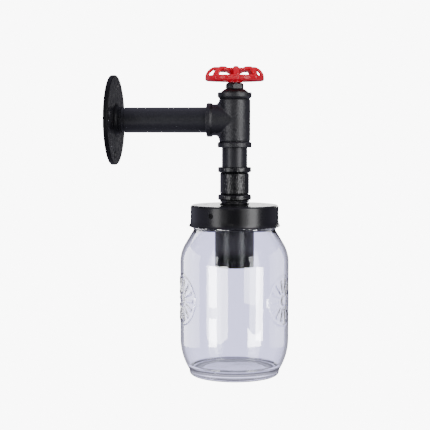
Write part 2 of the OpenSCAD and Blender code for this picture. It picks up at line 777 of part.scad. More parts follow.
module jar() {
    slant = [cos(shoulder_top_turn), sin(shoulder_top_turn)];
    inner_r = neck_r - jar_wall;
    outside = concat(
        arc(bead_x, bead_z, neck_bead_r, bead_turn, -60, 8),
        [[shoulder_top_x, shoulder_top_z]],
        jar_side(0),
        [[heel_top_r, heel_top_z]],
        arc(foot_r, jar_foot_z + heel_r, heel_r, 0, -90, 6),
        [[punt_r, jar_foot_z], [punt_r - punt_slope, jar_foot_z + punt_rise], [0, jar_foot_z + punt_rise]]
    );
    inside = concat(
        [[inner_r, bead_start_z], [inner_r, bead_z]],
        [[shoulder_top_x - jar_wall * slant[0], shoulder_top_z - jar_wall * slant[1]]],
        arc(shoulder_x, shoulder_z, shoulder_r - jar_wall, shoulder_top_turn, 0,
            ceil(shoulder_top_turn / arc_step)),
        jar_inner_waist(),
        [[0, jar_foot_z + jar_floor + floor_crown]]
    );
    backwards = [for (i = [len(inside) - 1 : -1 : 0]) inside[i]];
    color(glass_tint) on_drop() rotate_extrude() polygon(concat(outside, backwards));
}

module lamp_cup() {
    inner_r = cup_r - cup_t;
    color(satin_black) on_drop() rotate_extrude() polygon(concat(
        [[tube_hole_r, cup_under_z], [tube_hole_r, lid_under_z]],
        arc(cup_r - cup_edge_r, lid_under_z - cup_edge_r, cup_edge_r, 90, 0, 5),
        [[cup_r, cup_foot_z], [inner_r, cup_foot_z], [inner_r, cup_under_z]]
    ));
}

module tube_nut() {
    color(zinc_grey) on_drop(cup_under_z - tube_nut_h) difference() {
        hexagon(tube_nut_af, tube_nut_h, hex_chamfer / 2, hex_chamfer / 2);
        translate([0, 0, -over]) cylinder(h = tube_nut_h + 2 * over, r = tube_hole_r);
    }
}

// A strap bent to a square arch, its feet turned in over the socket
module socket_strap() {
    inner = strap_half - strap_t;
    toe = strap_half - strap_foot_l;
    roof = strap_h - strap_t;
    outline = [
        [toe, 0], [strap_half, 0], [strap_half, strap_h], [-strap_half, strap_h],
        [-strap_half, 0], [-toe, 0], [-toe, strap_t], [-inner, strap_t],
        [-inner, roof], [inner, roof], [inner, strap_t], [toe, strap_t]
    ];
    color(zinc_grey) on_drop(socket_top_z) difference() {
        translate([-strap_w / 2, 0, 0]) rotate([90, 0, 90]) linear_extrude(strap_w) polygon(outline);
        cylinder(h = strap_h + over, r = tube_hole_r);
        for (side = [-1, 1]) translate([0, side * strap_screw_y, -over])
            cylinder(h = strap_t + 2 * over, r = strap_screw_r + fit_gap);
    }
}

module strap_screws() {
    color(zinc_grey) for (side = [-1, 1]) {
        seat_z = socket_top_z + strap_t + (side > 0 ? tag_t : 0);
        translate([arm_reach, side * strap_screw_y, 0]) difference() {
            union() {
                translate([0, 0, seat_z]) cylinder(h = strap_head_h, r = strap_head_r);
                translate([0, 0, seat_z - strap_screw_l])
                    cylinder(h = strap_screw_l + hair, r = strap_screw_r);
            }
            translate([-strap_head_r - over, -strap_screw_r / 4, seat_z + strap_head_h / 2])
                cube([2 * strap_head_r + 2 * over, strap_screw_r / 2, strap_head_h]);
        }
    }
}

module socket_body() {
    upper_r = socket_r - socket_step;
    step_z = socket_top_z - socket_step_h;
    color(porcelain_white) on_drop() difference() {
        rotate_extrude() polygon([
            [0, socket_foot_z], [socket_r - socket_round, socket_foot_z],
            [socket_r, socket_foot_z + socket_round], [socket_r, step_z - socket_round],
            [upper_r, step_z], [upper_r, socket_top_z - socket_round],
            [upper_r - socket_round, socket_top_z], [0, socket_top_z]
        ]);
        translate([0, 0, socket_foot_z - over])
            cylinder(h = shell_top_z - socket_foot_z + over + fit_gap, r = shell_r + fit_gap);
        translate([0, 0, shell_top_z - over])
            cylinder(h = contact_seat_z - shell_top_z + over, r = contact_well_r);
        translate([0, 0, contact_seat_z - over])
            cylinder(h = socket_top_z - contact_seat_z + 2 * over, r = contact_r + fit_gap);
        translate([-terminal_x, 0, shell_top_z - over])
            cylinder(h = socket_top_z - shell_top_z + 2 * over, r = terminal_rivet_r + fit_gap);
        for (side = [-1, 1]) translate([0, side * strap_screw_y, socket_top_z - strap_screw_l])
            cylinder(h = strap_screw_l + over, r = strap_screw_r + fit_gap);
    }
}

module screw_shell() {
    color(brass_gold) on_drop() {
        translate([0, 0, shell_foot_z]) tube(shell_r, shell_bore_r, shell_l);
        translate([0, 0, shell_top_z - shell_t])
            tube(shell_bore_r + hair, shell_bore_r * shell_flange_share, shell_t);
    }
}

module centre_contact() {
    button_z = contact_seat_z - contact_head_h;
    color(brass_gold) on_drop() rotate_extrude() polygon(concat(
        [[0, socket_top_z], [contact_r, socket_top_z], [contact_r, contact_seat_z]],
        [[contact_head_r, contact_seat_z], [contact_head_r, button_z], [contact_button_r, button_z]],
        [[contact_button_r * 0.8, button_z - contact_button_h * 0.7]],
        [[contact_button_r * 0.4, button_z - contact_button_h], [0, button_z - contact_button_h]]
    ));
}

// A brass block on a plate, with an upright hole for the lead and a side hole for its screw
module terminal(plate_from, lead_y) {
    plate_to = terminal_x + terminal_w / 2;
    difference() {
        union() {
            translate([plate_from, -terminal_plate_w / 2, 0])
                cube([plate_to - plate_from, terminal_plate_w, terminal_plate_t]);
            translate([terminal_x - terminal_w / 2, -terminal_w / 2, 0])
                cube([terminal_w, terminal_w, terminal_plate_t + terminal_h]);
        }
        translate([terminal_x, lead_y, terminal_plate_t + terminal_h - lead_entry])
            cylinder(h = lead_entry + over, r = lead_hole_r);
        translate([terminal_x + lead_r, lead_y, terminal_plate_t + terminal_h - lead_entry / 2])
            rotate([0, 90, 0]) cylinder(h = terminal_w, r = terminal_screw_r + fit_gap);
    }
}

module live_terminal() {
    color(brass_gold) on_drop(socket_top_z) terminal(-contact_r, live_side);
}

module neutral_terminal() {
    plate_from = terminal_x - terminal_w;
    color(brass_gold) on_drop() {
        translate([0, 0, socket_top_z]) rotate(180) terminal(plate_from, -live_side);
        translate([-terminal_x, 0, shell_top_z])
            cylinder(h = socket_top_z - shell_top_z, r = terminal_rivet_r);
    }
}

module terminal_screws() {
    head_x = terminal_x + terminal_w / 2;
    tip_x = terminal_x + lead_r + fit_gap;
    color(zinc_grey) on_drop(terminal_top_z - lead_entry / 2) for (side = [0, 1])
        mirror([side, 0, 0]) translate([0, live_side, 0]) rotate([0, 90, 0]) {
            translate([0, 0, tip_x]) cylinder(h = head_x - tip_x, r = terminal_screw_r);
            translate([0, 0, head_x]) cylinder(h = terminal_head_l, r = terminal_head_r);
        }
}

module earth_tag() {
    color(zinc_grey) on_drop(tag_z) difference() {
        union() {
            translate([0, strap_screw_y, 0]) cylinder(h = tag_t, r = tag_r);
            translate([-tag_barrel_r, tag_y, 0]) cube([2 * tag_barrel_r, strap_screw_y - tag_y, tag_t]);
            translate([0, tag_y, 0]) cylinder(h = tag_t + tag_barrel_h, r = tag_barrel_r);
        }
        translate([0, strap_screw_y, -over]) cylinder(h = tag_t + 2 * over, r = strap_screw_r + fit_gap);
        translate([0, tag_y, tag_t]) cylinder(h = tag_barrel_h + over, r = lead_hole_r);
    }
}

module at_poles() {
    for (pole = [-1, 0, 1]) translate([0, pole * pole_gap, 0]) children();
}

module at_block_screws() {
    at_poles() for (x = [block_x + block_screw_inset, block_end_x - block_screw_inset])
        translate([x, 0, sleeve_z]) children();
}

module terminal_block() {
    color(block_white) difference() {
        translate([block_x, -block_w / 2, block_foot_z]) cube([block_l, block_w, block_h]);
        at_poles() translate([block_x - over, 0, sleeve_z]) rotate([0, 90, 0])
            cylinder(h = block_l + 2 * over, r = sleeve_r + fit_gap);
        at_block_screws() cylinder(h = block_h, r = block_screw_r + fit_gap);
        for (side = [-1, 1]) translate([
            block_x - over, side * pole_gap / 2 - barrier_w / 2, block_foot_z + block_h - barrier_depth
        ]) cube([block_l + 2 * over, barrier_w, block_h]);
    }
}

module block_sleeves() {
    color(brass_gold) difference() {
        at_poles() translate([block_x, 0, sleeve_z]) rotate([0, 90, 0])
            tube(sleeve_r, lead_hole_r, block_l);
        at_block_screws() cylinder(h = block_h, r = block_screw_r + fit_gap);
    }
}

module block_screws() {
    color(zinc_grey) at_block_screws() translate([0, 0, lead_hole_r])
        cylinder(h = block_h / 2 - lead_hole_r - seat_gap, r = block_screw_r);
}

// A narrow band, hardly proud, where two stretches of a lead meet
module lead_joint() {
    translate([0, 0, -lead_joint_l / 2]) cylinder(h = lead_joint_l, r = lead_joint_r);
}

// Two opposite arcs that carry a lead sideways by shift while it falls by fall along -Z
module side_step(shift, fall) {
    turn = 2 * atan(shift / fall);
    r = fall / (2 * sin(turn));
    lead_joint();
    translate([r, 0, 0]) rotate([90, 0, 0]) rotate(180) rotate_extrude(angle = turn)
        translate([r, 0]) circle(r = lead_r);
    translate([shift / 2, 0, -fall / 2]) rotate([0, -turn, 0]) lead_joint();
    translate([shift - r, 0, -fall]) rotate([90, 0, 0]) rotate_extrude(angle = turn)
        translate([r, 0]) circle(r = lead_r);
    translate([shift, 0, -fall]) lead_joint();
}

// One lead, from its pole in the block, along the arm, down the drop and out to [to_x, to_y]
module lead(pole, up, side, to_x, to_y, end_z) {
    fan_x = block_end_x + lead_tail;
    run_x = fan_x + fan_l;
    bend_x = arm_reach - lead_bend_r;
    from_y = pole * pole_gap;
    shift = norm([side - from_y, up - sleeve_z]);
    leave_z = tube_foot_z - lead_tail;
    arrive_z = end_z + lead_tail;
    out_shift = norm([to_x - up, to_y - side]);
    $fn = lead_sides;
    translate([block_end_x - lead_entry, from_y, sleeve_z]) rotate([0, 90, 0])
        cylinder(h = fan_x - block_end_x + lead_entry, r = lead_r);
    translate([fan_x, from_y, sleeve_z]) rotate([atan2(from_y - side, up - sleeve_z), 0, 0])
        rotate([0, -90, 0]) side_step(shift, fan_l);
    translate([run_x, side, up]) rotate([0, 90, 0]) cylinder(h = bend_x - run_x, r = lead_r);
    translate([bend_x, side, up]) rotate([0, 90, 0]) lead_joint();
    translate([bend_x, side, -lead_bend_r]) rotate([90, 0, 0]) rotate_extrude(angle = 90)
        translate([lead_bend_r + up, 0]) circle(r = lead_r);
    translate([arm_reach + up, side, -lead_bend_r]) lead_joint();
    translate([arm_reach + up, side, leave_z]) cylinder(h = -lead_bend_r - leave_z, r = lead_r);
    translate([arm_reach + up, side, leave_z]) rotate(atan2(to_y - side, to_x - up))
        side_step(out_shift, leave_z - arrive_z);
    translate([arm_reach + to_x, to_y, end_z - lead_entry])
        cylinder(h = arrive_z - end_z + lead_entry, r = lead_r);
}

module live_lead() {
    color(live_brown) lead(-1, live_up, live_side, terminal_x, live_side, terminal_top_z);
}

module neutral_lead() {
    color(neutral_blue) lead(0, -live_up, live_side, -terminal_x, live_side, terminal_top_z);
}

module earth_lead() {
    color(earth_green) lead(1, 0, lead_ring, 0, tag_y, tag_z + tag_t + tag_barrel_h);
}

wall_flange();
arm_pipe();
tee();
bonnet();
gland_nut();
stem();
handwheel();
wheel_washer();
wheel_nut();
drop_nipple();
coupling();
hex_bushing();
lid_washer();
threaded_tube();
jar_lid();
screw_inserts();
jar_screw(0);  // jar_screw_1
jar_screw(1);  // jar_screw_2
jar_screw(2);  // jar_screw_3
jar_neck();
jar();
lamp_cup();
tube_nut();
socket_strap();
strap_screws();
socket_body();
screw_shell();
centre_contact();
live_terminal();
neutral_terminal();
terminal_screws();
earth_tag();
terminal_block();
block_sleeves();
block_screws();
live_lead();
neutral_lead();
earth_lead();
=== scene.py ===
import json
import math

import bmesh
import bpy
from mathutils import Matrix, Vector, noise

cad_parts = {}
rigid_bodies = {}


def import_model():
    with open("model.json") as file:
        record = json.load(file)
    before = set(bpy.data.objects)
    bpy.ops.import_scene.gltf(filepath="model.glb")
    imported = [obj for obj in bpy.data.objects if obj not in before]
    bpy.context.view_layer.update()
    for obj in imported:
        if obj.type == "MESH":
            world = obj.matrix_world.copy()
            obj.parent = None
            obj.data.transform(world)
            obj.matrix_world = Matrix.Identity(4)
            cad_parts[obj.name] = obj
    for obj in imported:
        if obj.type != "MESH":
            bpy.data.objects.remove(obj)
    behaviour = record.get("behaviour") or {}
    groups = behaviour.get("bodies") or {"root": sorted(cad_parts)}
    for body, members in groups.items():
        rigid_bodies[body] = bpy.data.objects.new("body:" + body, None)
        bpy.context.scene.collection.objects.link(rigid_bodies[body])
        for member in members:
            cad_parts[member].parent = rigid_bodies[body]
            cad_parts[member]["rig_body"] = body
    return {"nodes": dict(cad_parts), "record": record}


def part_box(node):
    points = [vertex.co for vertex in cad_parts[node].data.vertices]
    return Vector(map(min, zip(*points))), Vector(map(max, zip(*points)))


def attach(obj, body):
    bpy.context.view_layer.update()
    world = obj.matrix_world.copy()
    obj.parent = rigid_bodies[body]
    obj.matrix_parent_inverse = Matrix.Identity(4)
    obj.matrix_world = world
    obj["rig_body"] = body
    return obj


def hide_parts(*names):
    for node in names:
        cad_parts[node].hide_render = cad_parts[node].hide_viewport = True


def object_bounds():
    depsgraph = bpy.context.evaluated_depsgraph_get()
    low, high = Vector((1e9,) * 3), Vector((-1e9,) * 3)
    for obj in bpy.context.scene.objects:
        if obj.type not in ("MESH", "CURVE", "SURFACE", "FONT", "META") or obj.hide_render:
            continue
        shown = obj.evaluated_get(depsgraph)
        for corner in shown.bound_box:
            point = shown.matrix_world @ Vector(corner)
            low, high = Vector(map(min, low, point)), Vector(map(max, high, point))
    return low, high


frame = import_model()
cadLow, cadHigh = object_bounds()
mm = 0.001


# Camera, floor and lights

cameraView = {
    "place": (0.2338, -1.1405, -0.0109),
    "azimuth": 6.474,  # degrees, from +Y towards -X
    "pitch": 4.18,  # degrees below the horizon
    "focalPixels": 1150,
    "framePixels": 430,
    "sensor": 36,  # millimetres
}


def addCamera(view):
    turn = math.radians(view["azimuth"])
    dip = math.radians(view["pitch"])
    forward = Vector((
        -math.sin(turn) * math.cos(dip), math.cos(turn) * math.cos(dip), -math.sin(dip)))
    data = bpy.data.cameras.new("photoCamera")
    data.sensor_width = view["sensor"]
    data.lens = view["focalPixels"] / view["framePixels"] * view["sensor"]
    camera = bpy.data.objects.new("photoCamera", data)
    camera.location = view["place"]
    camera.rotation_mode = "QUATERNION"
    camera.rotation_quaternion = forward.to_track_quat("-Z", "Y")
    bpy.context.scene.collection.objects.link(camera)
    bpy.context.scene.camera = camera


class Wire:  # one output socket of a node, with the arithmetic that the paints use
    def __init__(self, paint, socket):
        self.paint = paint
        self.socket = socket

    def maths(self, operation, first, second):
        return self.paint.node("ShaderNodeMath", {"operation": operation}, {0: first, 1: second})

    def __add__(self, other):
        return self.maths("ADD", self, other)

    def __radd__(self, other):
        return self.maths("ADD", other, self)

    def __sub__(self, other):
        return self.maths("SUBTRACT", self, other)

    def __rsub__(self, other):
        return self.maths("SUBTRACT", other, self)

    def __mul__(self, other):
        return self.maths("MULTIPLY", self, other)

    def __rmul__(self, other):
        return self.maths("MULTIPLY", other, self)


class Paint:  # a node tree and the one way in which nodes are added to it
    def __init__(self, tree):
        self.tree = tree

    def node(self, kind, settings=None, inputs=None, output=0):
        made = self.tree.nodes.new(kind)
        for name, value in (settings or {}).items():
            setattr(made, name, value)
        for key, value in (inputs or {}).items():
            self.feed(made.inputs[key], value)
        return Wire(self, made.outputs[output])

    def feed(self, socket, value):
        if isinstance(value, Wire):
            self.tree.links.new(value.socket, socket)
        else:
            socket.default_value = value

    def grain(self, scale, detail, roughness=0.5):
        place = self.node("ShaderNodeTexCoord", output="Object")
        return self.node(
            "ShaderNodeTexNoise", None,
            {"Vector": place, "Scale": scale, "Detail": detail, "Roughness": roughness},
        )

    def spread(self, value, low, high):
        return self.node(
            "ShaderNodeMapRange", None, {"Value": value, "To Min": low, "To Max": high})

    def ease(self, value, band, low, high):  # low at the band's start, high at its end
        return self.node(
            "ShaderNodeMapRange", {"interpolation_type": "SMOOTHSTEP"},
            {"Value": value, "From Min": band[0], "From Max": band[1], "To Min": low, "To Max": high},
        )

    def tint(self, mask, first, second):  # 6 and 7 are the node's colour sockets
        return self.node(
            "ShaderNodeMix", {"data_type": "RGBA"},
            {"Factor": mask, 6: (*first, 1), 7: (*second, 1)}, output=2,
        )

    def relief(self, height, bump):
        return self.node(
            "ShaderNodeBump", None,
            {"Height": height, "Strength": bump["strength"], "Distance": bump["distance"] * mm},
        )


studio = {
    "backdrop": 9.0,  # what the camera sees behind the object
    "white": (1, 1, 1),
    "floorBelow": 0.16,  # metres under the object
    "floorReach": 6,  # metres from the middle to each side
    "floorColour": (0.02, 0.02, 0.02),
}
# Light of the room by direction: a band runs from where a level starts to where it is full, in the
# direction's share to the east, to the north or upwards
metalRoom = {  # what metal reflects
    "high": 0.04,
    "low": 0.6,
    "lowBand": (0.1, -0.7),
    "left": 0.5,
    "leftBand": (-0.4, -0.9),
    "right": 0.32,
    "rightBand": (0.4, 0.9),
    "above": 0.8,
    "aboveBand": (0.3, 0.95),
    "tint": (1, 0.97, 1.25),
}
glassRoom = {  # what is seen through the glass
    "back": 1.93,
    "slope": 0.096,  # of the straight way through, in plan
    "side": 1.1,
    "sideBand": (0.35, 0.75),
    "low": 0.4,
    "lowBand": (-0.3, -0.6),
    "turnedBand": (0.2, 0.8),  # in turns of the ray, which are whole numbers
    "inner": 0.15,  # share of the metal's room that is seen after a turn inside the jar
    "edge": 0.6,  # added for the back, after a turn inside the wall of the glass
    "edgeBand": (-0.3, 0.3),
    "steep": 0.03,  # added far down, after a turn
    "steepBand": (-0.4, -0.65),
    "tint": (0.98, 0.94, 1.38),
}
# Under "on", matt is diffuse light on everything, shine is gloss on everything but the glass, glass
# and inside are gloss on the glass and light bent by it, and flange and lid are gloss on one piece
softboxes = {
    "shineLeft": {"place": (-0.77, -0.97, 0.1), "size": (0.45, 1.5), "power": 15, "on": "shine"},
    "shineLeftSoft": {"place": (-0.4, -1.2, -0.5), "size": (0.45, 0.6), "power": 2.2, "on": "shine"},
    "shineRight": {"place": (1.12, -0.72, 0.2), "size": (0.55, 1.5), "power": 29, "on": "shine"},
    "shineRightSoft": {"place": (0.83, -1.05, 0.1), "size": (0.45, 1.5), "power": 6, "on": "shine"},
    "shineFront": {"place": (0.05, -1.5, 0.2), "size": (0.35, 0.2), "power": 1.3, "on": "shine"},
    "shineBehind": {"place": (0.3, 1.4, -0.05), "size": (0.4, 0.7), "power": 0.25, "on": "flange"},
    "lidBehind": {"place": (0.23, 1.6, 0.21), "size": (1.3, 0.35), "power": 9, "on": "lid"},
    "fillLeft": {"place": (-0.75, -0.95, 0.4), "size": (1.0, 1.5), "power": 5, "on": "matt"},
    "fillRight": {"place": (1.0, -0.8, 0.4), "size": (1.0, 1.5), "power": 5, "on": "matt"},
    "fillTop": {"place": (0.1, 0.3, 1.2), "size": (1.2, 1.2), "power": 6, "on": "matt"},
    "insideLeft": {"place": (-0.75, -0.98, -0.2), "size": (0.5, 1.5), "power": 24, "on": "inside"},
    "insideRight": {"place": (1.05, -0.8, -0.2), "size": (0.5, 1.5), "power": 34, "on": "inside"},
    "paneLeft": {"place": (-0.71, -0.99, -0.28), "size": (0.4, 0.18), "power": 15, "on": "glass"},
    "paneLeftLow": {"place": (-0.71, -0.99, -0.45), "size": (0.4, 0.09), "power": 9, "on": "glass"},
    "paneLeftWide": {"place": (-0.6, -1.2, -0.33), "size": (1.2, 0.28), "power": 34, "on": "glass"},
    "paneRight": {"place": (1.285, -0.715, -0.36), "size": (0.4, 0.19), "power": 17, "on": "glass"},
    "paneRightWide": {"place": (1.1, -1.05, -0.33), "size": (0.9, 0.11), "power": 7, "on": "glass"},
    "paneRightLow": {"place": (1.15, -0.95, -0.47), "size": (0.75, 0.05), "power": 8, "on": "glass"},
    "paneFarLeft": {"place": (-1.25, 0.25, -0.1), "size": (1.5, 1.0), "power": 46, "on": "glass"},
    "paneFarRight": {"place": (1.45, 0.45, -0.1), "size": (1.3, 1.0), "power": 20, "on": "glass"},
}
lampAim = (0.12, 0, -0.1)  # where every softbox points
glassOnly = bpy.data.collections.new("glassOnly")
notGlass = bpy.data.collections.new("notGlass")  # holds the glass, marked as left out
flangeOnly = bpy.data.collections.new("flangeOnly")
lidOnly = bpy.data.collections.new("lidOnly")
lidOnly.objects.link(frame["nodes"]["jar_lid"])
receiversOf = {
    "shine": notGlass, "glass": glassOnly, "inside": glassOnly, "flange": flangeOnly, "lid": lidOnly,
}


def metalLight(paint, room, east, height):
    light = paint.ease(height, room["lowBand"], room["high"], room["low"])
    light = light + paint.ease(east, room["leftBand"], 0, room["left"])
    light = light + paint.ease(east, room["rightBand"], 0, room["right"])
    return light + paint.ease(height, room["aboveBand"], 0, room["above"])


def straightLight(paint, room, east, north, height):  # for rays that only pass through the glass
    aside = paint.node(
        "ShaderNodeMath", {"operation": "ABSOLUTE"}, {0: east + north * room["slope"]})
    around = paint.ease(aside, room["sideBand"], room["back"], room["side"])
    return room["low"] + paint.ease(height, room["lowBand"], 1, 0) * (around - room["low"])


def turnedLight(paint, room, metal, passing, north, height):  # for rays that turned on their way
    light = metal * (1 - passing * (1 - room["inner"]))
    light = light + passing * paint.ease(north, room["edgeBand"], 0, 1) * room["edge"]
    return light + passing * paint.ease(height, room["steepBand"], 0, 1) * room["steep"]


def addRoom(settings, forMetal, forGlass):
    world = bpy.data.worlds.new("studioRoom")
    world.use_nodes = True
    bpy.context.scene.world = world
    paint = Paint(world.node_tree)
    direction = paint.node("ShaderNodeTexCoord", output="Generated")
    east, north, height = [
        paint.node("ShaderNodeSeparateXYZ", None, {0: direction}, output=axis) for axis in range(3)]
    cameraRay, passing, glossyTurns, mattTurns = [
        paint.node("ShaderNodeLightPath", output=name)
        for name in ("Is Camera Ray", "Is Transmission Ray", "Glossy Depth", "Diffuse Depth")]
    straightRay = passing * paint.ease(glossyTurns + mattTurns, forGlass["turnedBand"], 1, 0)
    metal = metalLight(paint, forMetal, east, height)
    straight = straightLight(paint, forGlass, east, north, height)
    turned = turnedLight(paint, forGlass, metal, passing, north, height)
    inner = straightRay * straight + (1 - straightRay) * turned
    seen = paint.tint(straightRay, forMetal["tint"], forGlass["tint"])
    tint = paint.node(
        "ShaderNodeMix", {"data_type": "RGBA"},
        {"Factor": cameraRay, 6: seen, 7: (*settings["white"], 1)}, output=2,
    )
    back = world.node_tree.nodes["Background"]
    paint.feed(back.inputs["Color"], tint)
    paint.feed(back.inputs["Strength"], cameraRay * settings["backdrop"] + (1 - cameraRay) * inner)


def addFloor(settings):
    floor = bpy.data.meshes.new("floor")
    level = cadLow.z - settings["floorBelow"]
    reach = settings["floorReach"]
    corners = [(-reach, -reach), (reach, -reach), (reach, reach), (-reach, reach)]
    floor.from_pydata([(x, y, level) for x, y in corners], [], [(0, 1, 2, 3)])
    floorObject = bpy.data.objects.new("floor", floor)
    floorObject.visible_diffuse = False
    floorObject.visible_glossy = False
    floorObject.visible_transmission = False
    bpy.context.scene.collection.objects.link(floorObject)
    material = bpy.data.materials.new("paleFloor")
    material.use_nodes = True
    shader = material.node_tree.nodes["Principled BSDF"].inputs
    shader["Base Color"].default_value = (*settings["floorColour"], 1)
    shader["Roughness"].default_value = 1
    shader["Specular IOR Level"].default_value = 0
    shader["Emission Color"].default_value = (*settings["white"], 1)
    shader["Emission Strength"].default_value = settings["backdrop"]
    floor.materials.append(material)


def addSoftbox(name, settings):
    data = bpy.data.lights.new("softbox_" + name, "AREA")
    data.shape = "RECTANGLE"
    data.size, data.size_y = settings["size"]
    data.energy = settings["power"]
    box = bpy.data.objects.new("softbox_" + name, data)
    box.location = settings["place"]
    box.rotation_mode = "QUATERNION"
    box.rotation_quaternion = (Vector(lampAim) - box.location).to_track_quat("-Z", "Y")
    box.visible_camera = False
    box.visible_diffuse = settings["on"] == "matt"
    box.visible_glossy = settings["on"] not in ("matt", "inside")
    box.visible_transmission = settings["on"] == "inside"
    if settings["on"] in receiversOf:
        box.light_linking.receiver_collection = receiversOf[settings["on"]]
    bpy.context.scene.collection.objects.link(box)


addCamera(cameraView)
addRoom(studio, metalRoom, glassRoom)
addFloor(studio)
for boxName, boxSettings in softboxes.items():
    addSoftbox(boxName, boxSettings)
print("camera and studio ready")


# Paints

def newPaint(name):
    material = bpy.data.materials.new(name)
    material.use_nodes = True
    return material, Paint(material.node_tree), material.node_tree.nodes["Principled BSDF"].inputs


paintGrain = {"coarseShare": 0.25, "coarseDetail": 3, "fineDetail": 4, "fineRoughness": 0.6}


def solidPaint(name, finish):  # its colour varies from dark to light, its roughness within a range
    material, paint, shader = newPaint(name)
    scale = finish["scale"]
    coarse = paint.grain(scale * paintGrain["coarseShare"], paintGrain["coarseDetail"])
    fine = paint.grain(scale, paintGrain["fineDetail"], paintGrain["fineRoughness"])
    paint.feed(shader["Base Color"], paint.tint(paint.spread(coarse, 0, 1), *finish["colours"]))
    paint.feed(shader["Roughness"], paint.spread(fine, *finish["rough"]))
    paint.feed(shader["Normal"], paint.relief(fine, finish["bump"]))
    paint.feed(shader["Metallic"], finish.get("metallic", 0))
    paint.feed(shader["Specular IOR Level"], finish.get("specular", 0.5))
    return material


glassFinish = {
    "haze": {"scale": 60, "detail": 2},
    "colours": ((0.88, 0.9, 0.92), (0.93, 0.94, 0.96)),
    "rough": (0.0, 0.03),
    "waves": {"scale": 45, "detail": 1},
    "bump": {"strength": 0.25, "distance": 0.5},
    "ior": 1.5,
}


def glassPaint(name, finish):
    material, paint, shader = newPaint(name)
    haze = paint.grain(**finish["haze"])
    paint.feed(shader["Base Color"], paint.tint(haze, *finish["colours"]))
    paint.feed(shader["Roughness"], paint.spread(haze, *finish["rough"]))
    paint.feed(shader["Normal"], paint.relief(paint.grain(**finish["waves"]), finish["bump"]))
    shader["Transmission Weight"].default_value = 1
    shader["IOR"].default_value = finish["ior"]
    return material


faintBump = {"strength": 0.1, "distance": 0.05}
finishes = {  # the scale is that of the grain, and the bump's distance is in mm
    "cast_black": {
        "name": "castBlack", "colours": ((0.004, 0.004, 0.006), (0.01, 0.01, 0.013)),
        "rough": (0.26, 0.48), "scale": 640, "bump": {"strength": 1.0, "distance": 0.35},
        "specular": 0.34,
    },
    "flange_black": {
        "name": "flangeBlack", "colours": ((0.004, 0.004, 0.005), (0.009, 0.009, 0.011)),
        "rough": (-0.35, 1.15),  # the grain seldom comes near its ends
        "scale": 300, "bump": {"strength": 1.0, "distance": 0.6}, "specular": 0.3,
    },
    # a darker black: the jar screws' own colour, and painted shade on the flange's rim, back and hub
    # foot and on the lid's washer
    "deep_black_and_painted_shade": {
        "name": "deepBlackAndPaintedShade", "colours": ((0.002, 0.002, 0.003), (0.004, 0.004, 0.005)),
        "rough": (0.4, 0.5), "scale": 900, "bump": {"strength": 0.3, "distance": 0.1},
        "specular": 0.08,
    },
    "hammered_black": {
        "name": "hammeredBlack", "colours": ((0.002, 0.002, 0.003), (0.005, 0.005, 0.006)),
        "rough": (0.17, 0.25), "scale": 900, "bump": {"strength": 0.4, "distance": 0.16},
        "specular": 0.32,
    },
    "satin_black": {
        "name": "satinBlack", "colours": ((0.009, 0.009, 0.012), (0.013, 0.013, 0.017)),
        "rough": (0.34, 0.42), "scale": 1400, "bump": {"strength": 0.12, "distance": 0.08},
        "specular": 0.28,
    },
    "cup_black": {
        "name": "cupBlack", "colours": ((0.003, 0.003, 0.004), (0.005, 0.005, 0.006)),
        "rough": (0.3, 0.36), "scale": 1400, "bump": {"strength": 0.12, "distance": 0.08},
        "specular": 0.26,
    },
    "lid_black": {
        "name": "lidBlack", "colours": ((0.003, 0.003, 0.004), (0.005, 0.005, 0.006)),
        "rough": (0.24, 0.28), "scale": 1600, "bump": {"strength": 0.1, "distance": 0.06},
        "specular": 0.28,
    },
    "wheel_red": {
        "name": "wheelRed", "colours": ((0.84, 0.003, 0.024), (0.93, 0.004, 0.03)),
        "rough": (0.12, 0.16), "scale": 900, "bump": {"strength": 0.03, "distance": 0.03},
        "specular": 0.14,
    },
    "zinc": {
        "name": "zincPlate", "colours": ((0.45, 0.45, 0.44), (0.6, 0.6, 0.58)),
        "rough": (0.25, 0.42), "scale": 800, "bump": faintBump,
        "metallic": 1,
    },
    "brass": {
        "name": "plainBrass", "colours": ((0.62, 0.42, 0.16), (0.75, 0.55, 0.25)),
        "rough": (0.22, 0.4), "scale": 700, "bump": faintBump,
        "metallic": 1,
    },
    "porcelain": {
        "name": "porcelain", "colours": ((0.74, 0.73, 0.69), (0.82, 0.81, 0.78)),
        "rough": (0.4, 0.55), "scale": 500, "bump": faintBump,
    },
    "block_white": {
        "name": "blockNylon", "colours": ((0.68, 0.68, 0.66), (0.76, 0.76, 0.74)),
        "rough": (0.45, 0.55), "scale": 500, "bump": faintBump,
    },
    "lead_brown": {
        "name": "leadBrown", "colours": ((0.09, 0.03, 0.012), (0.12, 0.045, 0.02)),
        "rough": (0.4, 0.5), "scale": 500, "bump": faintBump,
    },
    "lead_blue": {
        "name": "leadBlue", "colours": ((0.02, 0.06, 0.3), (0.03, 0.08, 0.36)),
        "rough": (0.4, 0.5), "scale": 500, "bump": faintBump,
    },
    "lead_green": {
        "name": "leadGreen", "colours": ((0.04, 0.2, 0.03), (0.5, 0.45, 0.04)),
        "rough": (0.4, 0.5), "scale": 160, "bump": faintBump,
    },
}
paints = {slot: solidPaint(finish["name"], finish) for slot, finish in finishes.items()}
paints["clear_glass"] = glassPaint("clearGlass", glassFinish)
slotOf = {part["node"]: part["material_slot"] for part in frame["record"]["subparts"]}
finishOf = {  # pieces that are painted otherwise than the rest of their slot
    "wall_flange": "flange_black", "coupling": "hammered_black", "lamp_cup": "cup_black",
    # the lid's washer takes the darker black as painted shade under the coupling; the jar screws are
    # black of their own
    "lid_washer": "deep_black_and_painted_shade", "jar_screw_1": "deep_black_and_painted_shade", "jar_screw_2": "deep_black_and_painted_shade",
    "jar_screw_3": "deep_black_and_painted_shade",
}


